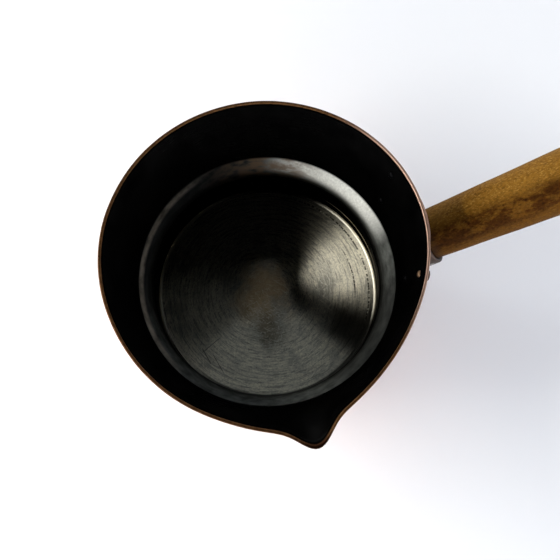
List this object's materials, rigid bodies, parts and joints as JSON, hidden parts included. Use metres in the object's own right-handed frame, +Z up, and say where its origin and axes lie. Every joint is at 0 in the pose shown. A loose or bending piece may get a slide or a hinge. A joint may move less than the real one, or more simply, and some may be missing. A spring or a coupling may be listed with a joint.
{
  "type": "coffee pot",
  "caption": "Wide copper coffee pot, tinned inside, with a low shoulder, a pressed pouring lip and a wooden handle that rises from a riveted socket.",
  "frame": {"origin": "middle of the flat base's underside, on the pot's axis", "axes": "+Z up along the pot's axis; the handle rises towards +X; the pouring lip points towards -Y"},
  "size_m": [0.2349, 0.1083, 0.1061],
  "materials": {
    "copper": "worn satin copper with a brown tarnish",
    "tin": "darkened tin with fine turning marks on the floor",
    "bracket": "dark tarnished cast metal",
    "rivet": "hand-closed copper heads",
    "wood": "oiled ochre-brown wood with dark streaks",
    "steel": "plain steel"
  },
  "bodies": {
    "root": {"pot_body": "copper", "tin_lining": "tin", "handle_bracket": "bracket", "rivet_upper_near": "rivet", "rivet_upper_far": "rivet", "rivet_lower_near": "rivet", "rivet_lower_far": "rivet", "wooden_handle": "wood", "handle_tang": "steel", "socket_pin": "steel"}
  },
  "joints": []
}
